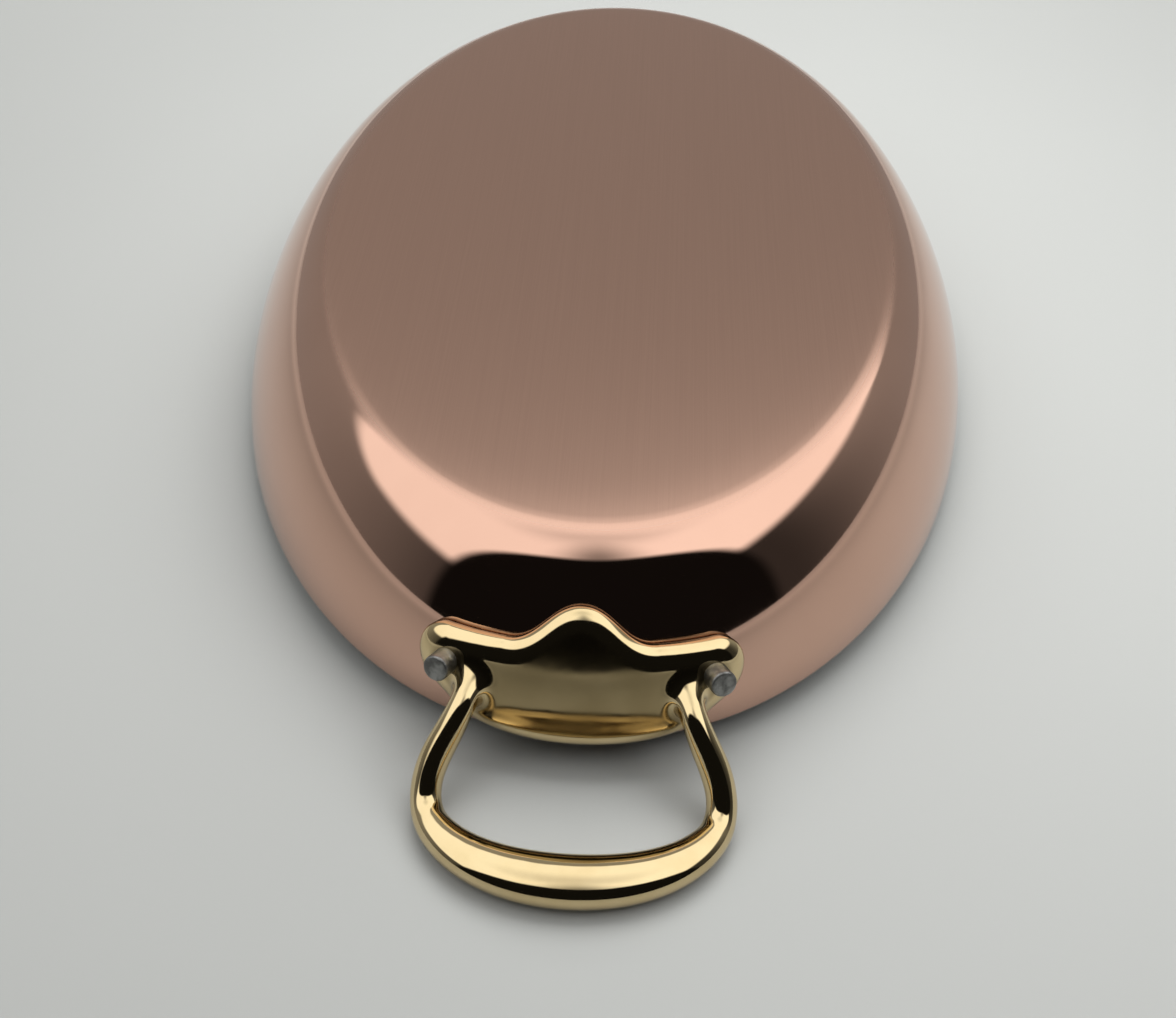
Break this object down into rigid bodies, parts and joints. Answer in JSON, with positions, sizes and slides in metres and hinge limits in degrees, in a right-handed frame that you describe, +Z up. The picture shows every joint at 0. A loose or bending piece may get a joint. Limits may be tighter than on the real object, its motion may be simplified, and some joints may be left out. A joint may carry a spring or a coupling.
{
  "type": "gratin dish",
  "caption": "Oval copper gratin dish with a thin steel lining and cast brass loop handles riveted to its ends, lying upside down on its handles.",
  "frame": {"origin": "centre of the oval dish, in the table plane that its two handle grips lie on, 6.5 mm under the rim", "axes": "+Z up, from the table to the outside of the base; Y along the long axis, with the pictured handle at -Y; X across the dish"},
  "size_m": [0.204, 0.3806, 0.0485],
  "materials": {
    "copper": "mirror-polished wall, satin base with fine lines along the dish",
    "lining_steel": "satin",
    "cast_brass": "polished casting",
    "rivet_steel": "dull"
  },
  "bodies": {
    "root": {"copper_body": "copper", "steel_lining": "lining_steel", "handle_front": "cast_brass", "handle_rear": "cast_brass", "rivet_front_left": "rivet_steel", "rivet_front_right": "rivet_steel", "rivet_rear_left": "rivet_steel", "rivet_rear_right": "rivet_steel"}
  },
  "joints": []
}
